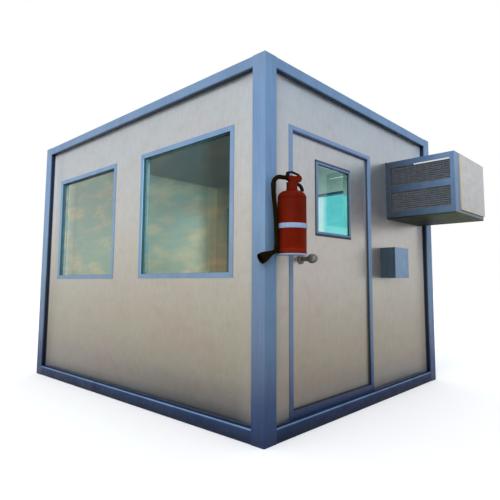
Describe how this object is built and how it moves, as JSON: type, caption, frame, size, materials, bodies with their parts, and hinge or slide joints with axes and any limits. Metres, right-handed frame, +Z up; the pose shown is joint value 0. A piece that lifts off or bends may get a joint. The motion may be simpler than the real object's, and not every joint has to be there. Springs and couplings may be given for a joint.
{
  "type": "security guard booth",
  "caption": "Steel-framed guard booth with recessed metal panels, glazed long sides, an inward-opening door, a through-wall air conditioner, a wall box and a fire extinguisher.",
  "frame": {"origin": "centre of the booth's footprint, on the ground under the middle floor joist", "axes": "+X along the long sides towards the door wall, the front window wall faces -Y, +Z up"},
  "size_m": [4.17, 2.7661, 2.6],
  "materials": {
    "frame_blue": "semi-gloss blue paint",
    "base_blue": "semi-gloss dark blue paint",
    "floor_sheet": "matt sheet floor",
    "ceiling_sheet": "matt grey paint",
    "roof_metal": "matt grey coated sheet",
    "panel_metal": "satin grey metallic coated sheet",
    "trim_blue": "semi-gloss blue paint",
    "window_glass": "green-blue tinted glass",
    "hinge_steel": "satin",
    "knob_metal": "satin dark nickel",
    "ac_blue": "semi-gloss blue paint",
    "ac_louvre_grey": "satin dark grey paint",
    "ac_end_pale": "satin off-white paint",
    "ac_pan_metal": "gloss olive paint",
    "ac_front_plastic": "matt off-white",
    "box_blue": "semi-gloss grey-blue paint",
    "bracket_steel": "semi-gloss pale blue-grey paint",
    "extinguisher_red": "gloss dark red paint",
    "lever_black": "satin black",
    "hose_rubber": "satin black-brown",
    "horn_plastic": "satin black-brown"
  },
  "bodies": {
    "booth": {"post_front_left": "frame_blue", "post_front_right": "frame_blue", "post_back_left": "frame_blue", "post_back_right": "frame_blue", "top_side_rails": "frame_blue", "top_end_rails": "frame_blue", "base_side_rails": "base_blue", "base_end_rails": "base_blue", "floor_joists": "base_blue", "door_threshold": "base_blue", "floor_panel": "floor_sheet", "ceiling_panel": "ceiling_sheet", "roof_sheet": "roof_metal", "front_wall": "panel_metal", "back_wall": "panel_metal", "left_wall": "panel_metal", "door_wall_strip": "panel_metal", "door_wall_over": "panel_metal", "door_wall_far": "panel_metal", "front_window_frames": "trim_blue", "back_window_frames": "trim_blue", "door_jambs": "trim_blue", "door_head": "trim_blue", "front_window_panes": "window_glass", "back_window_panes": "window_glass", "hinge_fixed_halves": "hinge_steel", "ac_case": "ac_blue", "ac_louvres": "ac_louvre_grey", "ac_end_plate": "ac_end_pale", "ac_base_pan": "ac_pan_metal", "ac_indoor_front": "ac_front_plastic", "electric_box": "box_blue", "electric_box_cover": "box_blue", "extinguisher_bracket": "bracket_steel", "extinguisher_cylinder": "extinguisher_red", "extinguisher_valve": "extinguisher_red", "extinguisher_levers": "lever_black", "hose_elbow": "hose_rubber", "extinguisher_hose": "hose_rubber", "extinguisher_horn": "horn_plastic"},
    "door": {"door_leaf": "panel_metal", "door_window_frame": "trim_blue", "door_window_pane": "window_glass", "hinge_door_halves": "hinge_steel", "knob_roses": "knob_metal"},
    "knob": {"door_knob": "knob_metal"}
  },
  "joints": [
    {"name": "door_hinge", "type": "hinge", "parent": "booth", "child": "door", "pos_m": [1.647, 0.0875, 1.1445], "axis": [0, 0, -1], "range_deg": [0, 100]},
    {"name": "knob_turn", "type": "hinge", "parent": "door", "child": "knob", "pos_m": [1.681, -0.883, 1.205], "axis": [1, 0, 0], "range_deg": [-60, 60], "stiffness_Nm_per_rad": 0.8}
  ]
}
